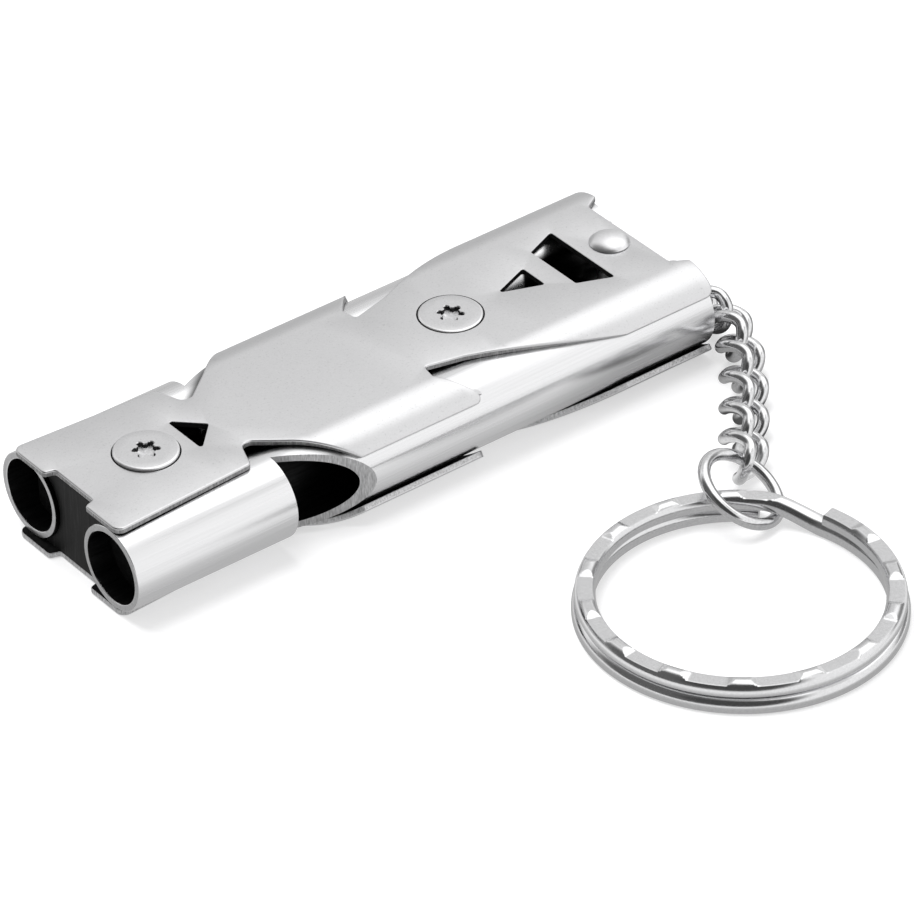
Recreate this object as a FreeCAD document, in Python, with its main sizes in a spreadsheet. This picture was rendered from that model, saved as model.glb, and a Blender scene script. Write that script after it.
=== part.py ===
import FreeCAD, Part
import math
import os
import Sketcher

# A bird training whistle of two steel tubes held between two laser-cut cover
# plates, with a short curb chain, a jump ring and a scalloped split ring.
# Millimetres. +X runs from the mouth to the chain end, +Z is up, and the
# origin is the middle of the underside of the lower plate.

SIZES = {
    # the two tubes
    "tube_length": 60.0,
    "tube_outer": 7.59,
    "tube_bore": 6.41,
    "tube_spacing": 12.34,
    "left_setback": 0.58,
    "window_start": 15.9,
    "window_length": 8.0,
    "window_depth": 3.66,
    # inside the tubes
    "plug_recess": 2.2,
    "windway_height": 1.25,
    "end_plug_length": 2.2,
    "end_plug_recess": 0.3,
    # cover plates: sheet and running clearance
    "sheet": 0.55,
    "seat_gap": 0.025,
    "wrap_angle": 54.5,
    "lower_spring": 0.85,
    "corner_radius": 0.5,
    "front_corner_radius": 0.8,
    # front tabs of the plates
    "notch_depth": 0.97,
    "notch_half": 2.6,
    "tab_slant": 0.3,
    "front_half": 7.4,
    "tail_x": 13.75,
    "tail_half": 6.65,
    "vee_x": 14.91,
    "vee_half": 3.5,
    "vee_radius": 0.8,
    # middle pair of wings
    "mid_front": 18.3,
    "mid_front_run": 4.47,
    "mid_rear_from_end": 27.23,
    "mid_rear_run": 3.09,
    # slot between the wings
    "slot_from_end": 27.0,
    "slot_half": 4.65,
    "slot_radius": 0.35,
    # rear pair of wings
    "rear_knee_from_end": 23.4,
    "rear_knee_half": 5.53,
    "rear_front_from_end": 21.8,
    "rear_front_run": 9.24,
    "rear_front_bend": 3.14,
    "wing_overhang": 0.2,
    "tail_recess": 1.5,
    "tail_recess_half": 5.4,
    # openings of the plates
    "arrow_base": 11.91,
    "arrow_half": 2.47,
    "arrow_length": 2.47,
    "dart_from_end": 15.57,
    "dart_half": 1.54,
    "dart_length": 3.91,
    "keystone_from_end": 9.55,
    "keystone_front_half": 3.03,
    "keystone_rear_half": 4.35,
    "keystone_length": 3.17,
    "opening_radius": 0.2,
    # countersunk screws
    "front_screw_x": 8.1,
    "rear_screw_from_end": 20.59,
    "head_diameter": 5.53,
    "head_rim": 0.15,
    "head_depth": 1.4,
    "front_head_proud": 0.28,
    "shank_diameter": 2.9,
    "screw_length": 4.2,
    "recess_core": 1.62,
    "recess_lobe": 0.56,
    "recess_lobe_circle": 0.87,
    "recess_depth": 0.95,
    # blocks between the tubes
    "mouth_block_start": 0.97,
    "mouth_block_length": 10.6,
    "rear_block_length": 8.6,
    "block_half": 4.6,
    # pin that carries the chain
    "pin_from_end": 3.43,
    "pin_diameter": 2.0,
    "dome_diameter": 3.56,
    "dome_side": 0.2,
    "dome_rise": 0.55,
    # curb chain
    "chain_wire": 1.05,
    "chain_pitch": 4.45,
    "chain_gap": 0.1,
    "link_half_width": 1.8,
    "link_twist": 96.0,
    "link_twist_span": 0.65,
    "link_squareness": 2.5,
    # jump ring
    "jump_wire": 1.06,
    "jump_radius": 3.63,
    "jump_heading": -136.3,
    "jump_dip": -3.5,
    "jump_lean": 32.0,
    # split ring
    "split_radius": 12.63,
    "split_step_out": 0.12,
    "split_width": 1.75,
    "split_thickness": 1.34,
    "split_coil_gap": 0.08,
    "split_crown_share": 0.91,
    "split_edge_share": 0.78,
    "split_reach": 13.23,
    "split_heading": -130.55,
    "joggle_start": 16.0,
    "joggle_turn": 26.0,
    "split_end_gap": 0.8,
    "scallop_count": 14,
    "scallop_pitch": 25.16,
    "scallop_first": 8.5,
    "scallop_length": 3.0,
    "scallop_depth": 0.27,
    "scallop_ramp": 0.6,
}

# where the chain lies: for each link its heading in plan, its roll about its
# own length, and the height of the far end of the link before it
HEADINGS = [2, -66, -86, -116, -126, -130, -131, -129]
ROLLS = [0, 3, 6, 9, 10, 10, 10, 12]
HEIGHTS = [3.05, 3.0, 2.9, 2.75, 2.55, 2.4, 2.35, 2.35, 2.65]
for number in range(8):
    SIZES["heading_" + "abcdefgh"[number]] = float(HEADINGS[number])
    SIZES["roll_" + "abcdefgh"[number]] = float(ROLLS[number])
for number in range(9):
    SIZES["height_" + "abcdefghi"[number]] = HEIGHTS[number]

doc = FreeCAD.newDocument("training_whistle")
sheet = doc.addObject("Spreadsheet::Sheet", "sizes")
for row, (alias, number) in enumerate(SIZES.items(), start=1):
    sheet.set("A%d" % row, alias)
    sheet.set("B%d" % row, str(number))
    sheet.setAlias("B%d" % row, alias)
doc.recompute()

X_AXIS = FreeCAD.Vector(1, 0, 0)
Y_AXIS = FreeCAD.Vector(0, 1, 0)
Z_AXIS = FreeCAD.Vector(0, 0, 1)


class Size:
    """A length or an angle: its value now and the formula that gives it."""

    def __init__(self, value, formula):
        self.value = value
        self.formula = formula

    def __add__(self, other):
        other = as_size(other)
        return Size(self.value + other.value, "(%s + %s)" % (self.formula, other.formula))

    def __sub__(self, other):
        other = as_size(other)
        return Size(self.value - other.value, "(%s - %s)" % (self.formula, other.formula))

    def __mul__(self, other):
        other = as_size(other)
        return Size(self.value * other.value, "(%s * %s)" % (self.formula, other.formula))

    def __truediv__(self, other):
        other = as_size(other)
        return Size(self.value / other.value, "(%s / %s)" % (self.formula, other.formula))

    def __neg__(self):
        return Size(-self.value, "(0 - %s)" % self.formula)


def as_size(number):
    if isinstance(number, Size):
        return number
    return Size(float(number), "%.6f" % number)


def sine(angle):
    return Size(math.sin(math.radians(angle.value)), "sin(%s * 1deg)" % angle.formula)


def cosine(angle):
    return Size(math.cos(math.radians(angle.value)), "cos(%s * 1deg)" % angle.formula)


def bind(thing, path, size):
    thing.setExpression(path, as_size(size).formula)


def place(thing, x=0, y=0, z=0, turn=None):
    """Set a placement whose position follows the sheet."""
    x, y, z = as_size(x), as_size(y), as_size(z)
    rotation = turn if turn else FreeCAD.Rotation()
    thing.Placement = FreeCAD.Placement(FreeCAD.Vector(x.value, y.value, z.value), rotation)
    bind(thing, "Placement.Base.x", x)
    bind(thing, "Placement.Base.y", y)
    bind(thing, "Placement.Base.z", z)
    return thing


class Named:
    """The sheet's cells as sizes."""


s = Named()
for alias, number in SIZES.items():
    setattr(s, alias, Size(float(number), "sizes." + alias))

ALONG_X = FreeCAD.Rotation(Y_AXIS, 90)
WRAP_LEFT = FreeCAD.Rotation(Y_AXIS, -90)

tube_radius = s.tube_outer / 2
bore_radius = s.tube_bore / 2
tube_y = s.tube_spacing / 2
tube_z = s.sheet + s.seat_gap + tube_radius
wrap_inner = tube_radius + s.seat_gap
wrap_outer = wrap_inner + s.sheet
top_z = tube_z * 2
pin_x = s.tube_length - s.pin_from_end
mid_rear = s.tube_length - s.mid_rear_from_end
slot_x = s.tube_length - s.slot_from_end
rear_knee_x = s.tube_length - s.rear_knee_from_end
rear_front = s.tube_length - s.rear_front_from_end
dart_tip = s.tube_length - s.dart_from_end
keystone_x = s.tube_length - s.keystone_from_end
rear_screw_x = s.tube_length - s.rear_screw_from_end
mouth_x = -(s.tube_length / 2)


def cylinder(name, radius, length, x=0, y=0, z=0, turn=None, angle=None):
    item = doc.addObject("Part::Cylinder", name)
    bind(item, "Radius", radius)
    bind(item, "Height", length)
    if angle is not None:
        bind(item, "Angle", angle)
    return place(item, x, y, z, turn)


def cone(name, low, high, length, x, y, z, turn=None):
    item = doc.addObject("Part::Cone", name)
    bind(item, "Radius1", low)
    bind(item, "Radius2", high)
    bind(item, "Height", length)
    return place(item, x, y, z, turn)


def box(name, long, wide, high, x, y, z):
    item = doc.addObject("Part::Box", name)
    bind(item, "Length", long)
    bind(item, "Width", wide)
    bind(item, "Height", high)
    return place(item, x, y, z)


def outline(name, points, z=0, turn=None):
    """A closed straight-sided outline with every corner held by the sheet."""
    drawing = doc.addObject("Sketcher::SketchObject", name)
    corners = [(as_size(px), as_size(py)) for px, py in points]
    flat = [FreeCAD.Vector(px.value, py.value, 0) for px, py in corners]
    count = len(flat)
    for i in range(count):
        drawing.addGeometry(Part.LineSegment(flat[i], flat[(i + 1) % count]), False)
    for i in range(count):
        drawing.addConstraint(Sketcher.Constraint("Coincident", i, 2, (i + 1) % count, 1))
    for i, (px, py) in enumerate(corners):
        for letter, part_of, kind in (("x", px, "DistanceX"), ("y", py, "DistanceY")):
            row = drawing.addConstraint(
                Sketcher.Constraint(kind, -1, 1, i, 1, part_of.value))
            drawing.renameConstraint(row, "%s%d" % (letter, i))
            drawing.setExpression("Constraints.%s%d" % (letter, i), part_of.formula)
    place(drawing, 0, 0, z, turn)
    return drawing


def extrude(name, drawing, length, direction=Z_AXIS, symmetric=False):
    item = doc.addObject("Part::Extrusion", name)
    item.Base = drawing
    item.DirMode = "Custom"
    item.Dir = direction
    item.Solid = True
    item.Symmetric = symmetric
    bind(item, "LengthFwd", length)
    return item


def revolve(name, drawing, angle=360.0, axis=Z_AXIS):
    item = doc.addObject("Part::Revolution", name)
    item.Source = drawing
    item.Axis = axis
    item.Solid = True
    bind(item, "Angle", angle)
    return item


def cut(name, base, tool):
    item = doc.addObject("Part::Cut", name)
    item.Base = base
    item.Tool = tool
    return item


def common(name, base, tool):
    item = doc.addObject("Part::Common", name)
    item.Base = base
    item.Tool = tool
    return item


def fuse(name, pieces, refine=True):
    item = doc.addObject("Part::MultiFuse", name)
    item.Shapes = pieces
    item.Refine = refine
    return item


def mirror(name, source, normal, base_z=0):
    item = doc.addObject("Part::Mirroring", name)
    item.Source = source
    item.Normal = normal
    bind(item, "Base.z", base_z)
    return item


def round_corners(name, base, corners):
    """Round the upright edges that stand at the given corners of a plan."""
    doc.recompute()
    found = []
    for px, py, radius in corners:
        px, py, radius = as_size(px), as_size(py), as_size(radius)
        for number, edge in enumerate(base.Shape.Edges, start=1):
            ends = [vertex.Point for vertex in edge.Vertexes]
            if len(ends) == 2 and all(
                    math.hypot(end.x - px.value, end.y - py.value) < 1e-4 for end in ends):
                found.append((number, radius.value, radius.value))
    item = doc.addObject("Part::Fillet", name)
    item.Base = base
    item.Edges = found
    return item


def round_edges(name, base, wanted, radius):
    """Round the edges that the given test picks out."""
    doc.recompute()
    found = []
    for number, edge in enumerate(base.Shape.Edges, start=1):
        if wanted(edge):
            found.append((number, radius.value, radius.value))
    item = doc.addObject("Part::Fillet", name)
    item.Base = base
    item.Edges = found
    return item


pieces = []


def keep(label, item, x=None, y=0, z=0, turn=None):
    """Name a finished piece and set it in the frame of the part."""
    item.Label = label
    place(item, mouth_x if x is None else x, y, z, turn)
    pieces.append(item)
    return item


# The tubes. Each has a sound window on its outer side: a straight lip down to
# the axis and a flat ramp that rises to the outside of the tube.
def make_tube(side_name, side, start):
    wall = cylinder(side_name + "_wall", tube_radius, s.tube_length - start,
                    start, tube_y * side, tube_z, ALONG_X)
    bore = cylinder(side_name + "_bore", bore_radius, s.tube_length - start + 2,
                    as_size(start) - 1, tube_y * side, tube_z, ALONG_X)
    lip = s.window_start + start
    deep = tube_y + tube_radius - s.window_depth
    drawing = outline(side_name + "_window_plan", [
        (lip, deep * side),
        (lip + s.window_length * 1.5, (deep + s.window_depth * 1.5) * side),
        (lip, (deep + s.window_depth * 1.5) * side)])
    window = extrude(side_name + "_window", drawing, top_z)
    pipe = cut(side_name + "_pipe", wall, bore)
    keep(side_name + "_tube", cut(side_name + "_whistle_tube", pipe, window))

    # the block inside the mouth, with a flat that leaves the windway
    plug = cylinder(side_name + "_plug_round", bore_radius - s.seat_gap,
                    s.window_start - s.plug_recess,
                    s.plug_recess + start, tube_y * side, tube_z, ALONG_X)
    floor = tube_y + bore_radius - s.windway_height
    wind_y = floor * side
    if side < 0:
        wind_y = wind_y - s.tube_bore
    windway = box(side_name + "_windway", s.window_start, s.tube_bore, s.tube_bore,
                  as_size(start), wind_y, tube_z - bore_radius)
    keep(side_name + "_fipple_plug", cut(side_name + "_fipple", plug, windway))

    # the disc that closes the far end
    keep(side_name + "_end_plug", cylinder(
        side_name + "_end_disc", bore_radius - s.seat_gap, s.end_plug_length,
        0, 0, 0, ALONG_X),
        mouth_x + s.tube_length - s.end_plug_recess - s.end_plug_length,
        tube_y * side, tube_z, ALONG_X)


make_tube("left", 1, s.left_setback)
make_tube("right", -1, as_size(0))

# The cover plates. The flat middle lies between the crests of the tubes; the
# wings bend down round the tubes. One half is drawn, then mirrored.
rear_edge = s.tube_length + s.wing_overhang
rear_middle = rear_edge - s.tail_recess
wrap_middle = (wrap_inner + wrap_outer) / 2


def wing(name, front, rear, spring):
    """A wing bent round the tube: a slice of pipe cut to edges that stand
    square to the sheet all the way down. A wing that has sprung back is bent
    to a larger radius, so that it stands off the tube towards its tip."""
    bend_z = tube_z - spring
    turn = s.wrap_angle * wrap_middle / (wrap_middle + spring)
    outer = cylinder(name + "_outer", wrap_outer + spring, rear_edge + 5,
                     rear_edge + 2, tube_y, bend_z, WRAP_LEFT, turn)
    inner = cylinder(name + "_inner", wrap_inner + spring, rear_edge + 7,
                     rear_edge + 3, tube_y, bend_z, WRAP_LEFT)
    shell = cut(name + "_shell", outer, inner)
    sections = []
    # six steps down the wing and one more past its tip
    steps = 6
    for i in range(steps + 2):
        share = i / float(steps)
        angle = turn * share
        low = (wrap_inner + spring) * 0.8
        section = doc.addObject("Part::Plane", "%s_section_%d" % (name, i))
        bind(section, "Length", rear(share) - front(share))
        bind(section, "Width", wrap_outer * 0.4)
        place(section, front(share), tube_y + sine(angle) * low, bend_z + cosine(angle) * low,
              FreeCAD.Rotation(X_AXIS, 90 - angle.value))
        bind(section, "Placement.Rotation.Angle", as_size(90) - angle)
        sections.append(section)
    edges = doc.addObject("Part::Loft", name + "_edges")
    edges.Sections = sections
    edges.Solid = True
    edges.Ruled = True
    return common(name, shell, edges)


def make_cover(name, spring):
    """A cover plate without its openings, as the upper one lies."""
    plan = outline(name + "_plan", [
        (s.notch_depth, 0),
        (rear_middle, 0),
        (rear_middle, s.tail_recess_half),
        (rear_edge, tube_y),
        (rear_front, tube_y),
        (rear_knee_x, s.rear_knee_half),
        (slot_x, s.slot_half),
        (mid_rear, tube_y),
        (s.mid_front, tube_y),
        (s.vee_x, s.vee_half),
        (s.tail_x, s.tail_half),
        (0, s.front_half),
        (0, s.notch_half + s.tab_slant),
        (s.notch_depth, s.notch_half)], top_z - s.sheet)
    flat = extrude(name + "_flat", plan, s.sheet)
    mid_wing = wing(name + "_mid_wing",
                    lambda f: s.mid_front + s.mid_front_run * f,
                    lambda f: mid_rear + s.mid_rear_run * f, spring)
    rear_wing = wing(name + "_rear_wing",
                     lambda f: rear_front + s.rear_front_run * f + s.rear_front_bend * f * f,
                     lambda f: rear_edge, spring)
    half = fuse(name + "_half", [flat, mid_wing, rear_wing])
    rounded = round_corners(name + "_rounded", half, [
        (0, s.front_half, s.front_corner_radius),
        (0, s.notch_half + s.tab_slant, s.corner_radius),
        (s.notch_depth, s.notch_half, s.corner_radius),
        (s.tail_x, s.tail_half, s.corner_radius),
        (s.vee_x, s.vee_half, s.vee_radius),
        (slot_x, s.slot_half, s.slot_radius),
        (rear_middle, s.tail_recess_half, s.corner_radius)])
    tip_turn = s.wrap_angle * wrap_middle / (wrap_middle + spring)
    tip_y = tube_y + sine(tip_turn) * (wrap_outer + spring)
    tip_ends = (s.mid_front + s.mid_front_run, mid_rear + s.mid_rear_run, rear_edge)

    def is_wing_corner(edge):
        ends = [vertex.Point for vertex in edge.Vertexes]
        if len(ends) != 2 or abs(edge.Length - s.sheet.value) > 1e-3:
            return False
        reach = max(end.y for end in ends)
        near = min(abs(ends[0].x - corner.value) for corner in tip_ends)
        return abs(reach - tip_y.value) < 1e-3 and near < 1e-3

    finished = round_edges(name + "_finished", rounded, is_wing_corner, s.corner_radius)
    other = mirror(name + "_other_half", finished, Y_AXIS)
    return fuse(name + "_blank", [finished, other])


upper_blank = make_cover("upper", as_size(0))
lower_blank = mirror("lower_turned", make_cover("lower", s.lower_spring), Z_AXIS, tube_z)

arrow_plan = outline("arrow_plan", [
    (s.arrow_base, -s.arrow_half),
    (s.arrow_base + s.arrow_length, 0),
    (s.arrow_base, s.arrow_half)], -1)
arrow = extrude("arrow", arrow_plan, top_z + 2)
dart_plan = outline("dart_plan", [
    (dart_tip, 0),
    (dart_tip + s.dart_length, -s.dart_half),
    (dart_tip + s.dart_length, s.dart_half)], -1)
dart = extrude("dart", dart_plan, top_z + 2)
keystone_plan = outline("keystone_plan", [
    (keystone_x, -s.keystone_front_half),
    (keystone_x + s.keystone_length, -s.keystone_rear_half),
    (keystone_x + s.keystone_length, s.keystone_rear_half),
    (keystone_x, s.keystone_front_half)], -1)
keystone = extrude("keystone", keystone_plan, top_z + 2)


def soften(name, item, plan):
    corners = [(px, py, s.opening_radius) for px, py in plan]
    return round_corners(name, item, corners)


arrow_soft = soften("arrow_soft", arrow, [
    (s.arrow_base, -s.arrow_half),
    (s.arrow_base + s.arrow_length, 0),
    (s.arrow_base, s.arrow_half)])
dart_soft = soften("dart_soft", dart, [
    (dart_tip, 0),
    (dart_tip + s.dart_length, -s.dart_half),
    (dart_tip + s.dart_length, s.dart_half)])
keystone_soft = soften("keystone_soft", keystone, [
    (keystone_x, -s.keystone_front_half),
    (keystone_x + s.keystone_length, -s.keystone_rear_half),
    (keystone_x + s.keystone_length, s.keystone_rear_half),
    (keystone_x, s.keystone_front_half)])
pin_hole = cylinder("pin_hole", s.pin_diameter / 2 + s.seat_gap, top_z + 2, pin_x, 0, -1)

head_radius = s.head_diameter / 2
shank_radius = s.shank_diameter / 2
cone_depth = s.head_depth - s.head_rim


def screw_hole(name, x):
    """The countersink and through hole that a screw of the upper plate needs."""
    wide = cylinder(name + "_wide", head_radius + s.seat_gap, s.head_rim + 1,
                    x, 0, top_z - s.head_rim)
    taper = cone(name + "_taper", shank_radius + s.seat_gap, head_radius + s.seat_gap,
                 cone_depth, x, 0, top_z - s.head_depth)
    through = cylinder(name + "_through", shank_radius + s.seat_gap, tube_z,
                       x, 0, tube_z)
    return fuse(name, [wide, taper, through], False)


upper_holes = [screw_hole("upper_front_hole", s.front_screw_x),
               screw_hole("upper_rear_hole", rear_screw_x)]
lower_holes = [mirror("lower_front_hole", upper_holes[0], Z_AXIS, tube_z),
               mirror("lower_rear_hole", upper_holes[1], Z_AXIS, tube_z)]
openings = [arrow_soft, dart_soft, keystone_soft, pin_hole]
upper_tools = fuse("upper_tools", openings + upper_holes, False)
lower_tools = fuse("lower_tools", openings + lower_holes, False)
keep("top_plate", cut("upper_cover", upper_blank, upper_tools))
keep("bottom_plate", cut("lower_cover", lower_blank, lower_tools))


# The blocks between the tubes, hollowed where the tubes lie against them.
def make_block(name, x, length, holes):
    blank = box(name + "_blank", length, s.block_half * 2, top_z - (s.sheet + s.seat_gap) * 2,
                x, -s.block_half, s.sheet + s.seat_gap)
    hollows = []
    for side_name, side in (("left", 1), ("right", -1)):
        hollows.append(cylinder("%s_%s_hollow" % (name, side_name), wrap_inner,
                                length + 2, x - 1, tube_y * side, tube_z, ALONG_X))
    tools = fuse(name + "_tools", hollows + holes, False)
    keep(name, cut(name + "_shape", blank, tools))


make_block("mouth_spacer", s.mouth_block_start, s.mouth_block_length,
           [upper_holes[0], lower_holes[0]])
make_block("rear_spacer", rear_screw_x - s.rear_block_length / 2, s.rear_block_length,
           [upper_holes[1], lower_holes[1]])


# The screws: flat heads with a six-lobed recess, two from above, two from below.
def make_screw(label, x, proud, lower):
    head = cylinder(label + "_head", head_radius, s.head_rim + proud, 0, 0, -s.head_rim)
    taper = cone(label + "_taper", shank_radius, head_radius, cone_depth, 0, 0, -s.head_depth)
    shank = cylinder(label + "_shank", shank_radius, s.screw_length - s.head_depth,
                     0, 0, -s.screw_length)
    solid = fuse(label + "_solid", [head, taper, shank])
    bottom = as_size(proud) - s.recess_depth
    recess = [cylinder(label + "_core", s.recess_core / 2, s.recess_depth + 1, 0, 0, bottom)]
    for i in range(6):
        turn = math.radians(60 * i)
        recess.append(cylinder(
            "%s_lobe_%d" % (label, i), s.recess_lobe / 2, s.recess_depth + 1,
            s.recess_lobe_circle * math.cos(turn), s.recess_lobe_circle * math.sin(turn), bottom))
    shape = cut(label + "_shape", solid, fuse(label + "_recess", recess))
    if lower:
        keep(label, shape, mouth_x + x, 0, 0, FreeCAD.Rotation(X_AXIS, 180))
    else:
        keep(label, shape, mouth_x + x, 0, top_z)


make_screw("top_front_screw", s.front_screw_x, s.front_head_proud, False)
make_screw("top_rear_screw", rear_screw_x, 0, False)
make_screw("bottom_front_screw", s.front_screw_x, 0, True)
make_screw("bottom_rear_screw", rear_screw_x, 0, True)

# The pin: a shaft through both plates with a domed head on the upper one.
pin_radius = s.pin_diameter / 2
dome_radius = s.dome_diameter / 2
shaft = cylinder("pin_shaft", pin_radius, top_z + s.dome_side / 2, 0, 0, 0)
ball_radius = (dome_radius * dome_radius + s.dome_rise * s.dome_rise) / (s.dome_rise * 2)
ball = doc.addObject("Part::Sphere", "dome_ball")
bind(ball, "Radius", ball_radius)
place(ball, 0, 0, top_z + s.dome_side + s.dome_rise - ball_radius)
button = cylinder("dome_button", dome_radius, s.dome_side + s.dome_rise + 1, 0, 0,
                  top_z + s.seat_gap)
dome = common("dome", button, ball)
keep("chain_pin", fuse("pin_with_dome", [shaft, dome]), mouth_x + pin_x, 0, 0)


# The chain. A link's wire runs round a twisted loop: round ends that lie
# nearly flat, joined by sides that turn quickly in the middle. The path is
# made of arcs that meet tangentially, and the other half is the same half
# turned over end for end.
def value(alias):
    return float(sheet.get(alias))


def arc_path(points, start, finish):
    """Arcs and short straight runs along a row of corners."""
    edges = []
    here = start
    for i, corner in enumerate(points):
        before = points[i - 1] if i else start
        after = points[i + 1] if i + 1 < len(points) else finish
        to_before = before - corner
        to_after = after - corner
        share_before = to_before.Length if i == 0 else to_before.Length / 2
        share_after = to_after.Length if i + 1 == len(points) else to_after.Length / 2
        trim = min(share_before, share_after) * 0.98
        to_before.normalize()
        to_after.normalize()
        first = corner + to_before * trim
        last = corner + to_after * trim
        half = math.acos(max(-1.0, min(1.0, to_before.dot(to_after)))) / 2
        bisector = to_before + to_after
        bisector.normalize()
        reach = trim / math.cos(half)
        middle = corner + bisector * (reach - trim * math.tan(half))
        if (first - here).Length > 1e-5:
            edges.append(Part.LineSegment(here, first).toShape())
        edges.append(Part.Arc(first, middle, last).toShape())
        here = last
    if (finish - here).Length > 1e-5:
        edges.append(Part.LineSegment(here, finish).toShape())
    return Part.Wire(edges)


wire = value("chain_wire")
gap = value("chain_gap")
pitch = value("chain_pitch")
half_length = (pitch + wire + gap) / 2
corner_count = 7


def link_point(turn):
    """A point of the wire's centre line, at a turn from 0 to 360 degrees."""
    power = 2.0 / value("link_squareness")
    c = math.cos(math.radians(turn))
    d = math.sin(math.radians(turn))
    along = half_length * math.copysign(abs(c) ** power, c)
    across = value("link_half_width") * math.copysign(abs(d) ** power, d)
    t = max(-1.0, min(1.0, along / half_length / value("link_twist_span")))
    angle = math.radians(value("link_twist")) / 2 * (1.5 * t - 0.5 * t ** 3)
    return FreeCAD.Vector(along, across * math.cos(angle), -across * math.sin(angle))


def outward(turn, spread):
    """A corner a little outside the curve, so that the arcs pass along it."""
    here = link_point(turn)
    chord = (link_point(turn - spread) + link_point(turn + spread)) / 2
    return here + (here - chord) * 0.25


half_turn = 180.0
spread = half_turn / corner_count
ends = [link_point(-90 + 0.0), link_point(90.0)]
corner_turns = [-90 + spread * (i + 0.5) for i in range(corner_count)]
corners = [outward(turn, spread) for turn in corner_turns]
half_path = doc.addObject("Part::Feature", "link_half_path")
half_path.Shape = arc_path(corners, ends[0], ends[1])

section = doc.addObject("Part::Circle", "link_section")
bind(section, "Radius", s.chain_wire / 2)
start_edge = half_path.Shape.Edges[0]
way = start_edge.tangentAt(start_edge.FirstParameter)
section.Placement = FreeCAD.Placement(ends[0], FreeCAD.Rotation(Z_AXIS, way))
doc.recompute()


def bent_wire(name, path, profile):
    item = doc.addObject("Part::Sweep", name)
    item.Sections = [profile]
    item.Spine = (path, ["Edge%d" % (i + 1) for i in range(len(path.Shape.Edges))])
    item.Solid = True
    item.Frenet = False
    return item


link_half = bent_wire("link_half", half_path, section)

far_ends = []
heading_letters = "abcdefgh"
link_frames = []
here = FreeCAD.Vector(pin_x.value + mouth_x.value, 0, value("height_a"))
for number in range(8):
    step = pitch
    if number == 0:
        step = 2 * half_length - (pin_radius.value + wire / 2 + gap)
    rise = value("height_" + "abcdefghi"[number + 1]) - value("height_" + "abcdefghi"[number])
    run = math.sqrt(step * step - rise * rise)
    heading = math.radians(value("heading_" + heading_letters[number]))
    way = FreeCAD.Vector(run * math.cos(heading), run * math.sin(heading), rise) / step
    here = here + way * step
    side = way.cross(Z_AXIS)
    side.normalize()
    up = side.cross(way)
    roll = math.radians(value("roll_" + heading_letters[number]) + value("link_twist") / 2)
    second = side * math.cos(roll) + up * math.sin(roll)
    third = way.cross(second)
    frame = FreeCAD.Matrix(
        way.x, second.x, third.x, 0,
        way.y, second.y, third.y, 0,
        way.z, second.z, third.z, 0,
        0, 0, 0, 1)
    far_ends.append(FreeCAD.Vector(here))
    link_frames.append((here - way * half_length, FreeCAD.Rotation(frame)))

for number, (centre, turn) in enumerate(link_frames, start=1):
    other = doc.addObject("Part::Sweep", "link_%d_half" % number)
    other.Sections = [section]
    other.Spine = (half_path, ["Edge%d" % (i + 1) for i in range(len(half_path.Shape.Edges))])
    other.Solid = True
    other.Placement = FreeCAD.Placement(FreeCAD.Vector(), FreeCAD.Rotation(Y_AXIS, 180))
    link = fuse("link_%d" % number, [link_half, other], False)
    link.Label = "chain_link_%d" % number
    link.Placement = FreeCAD.Placement(centre, turn)
    pieces.append(link)

# The jump ring passes through the last link and round the split ring.
heading = math.radians(value("jump_heading"))
dip = math.radians(value("jump_dip"))
onward = FreeCAD.Vector(math.cos(heading) * math.cos(dip), math.sin(heading) * math.cos(dip),
                        math.sin(dip))
side = onward.cross(Z_AXIS)
side.normalize()
up = side.cross(onward)
lean = math.radians(value("jump_lean"))
jump_normal = up * math.cos(lean) - side * math.sin(lean)
jump_step = s.jump_radius - s.chain_wire / 2 - s.jump_wire / 2 - s.chain_gap
jump_centre = far_ends[-1] + onward * jump_step.value
jump = doc.addObject("Part::Torus", "jump_ring_wire")
jump.Label = "jump_ring"
bind(jump, "Radius1", s.jump_radius)
bind(jump, "Radius2", s.jump_wire / 2)
jump.Placement = FreeCAD.Placement(jump_centre, FreeCAD.Rotation(Z_AXIS, jump_normal))
pieces.append(jump)

# The split ring: a flat strip wound twice, with a joggle where it changes
# from the lower coil to the upper one, and scallops along the top.
low_radius = s.split_radius + s.split_step_out
high_radius = s.split_radius - s.split_step_out
low_z = s.split_thickness / 2
high_z = low_z + s.split_thickness + s.split_coil_gap
crown_radius = s.split_width / 2 * s.split_crown_share
edge_radius = (s.split_thickness - crown_radius) * s.split_edge_share


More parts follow.
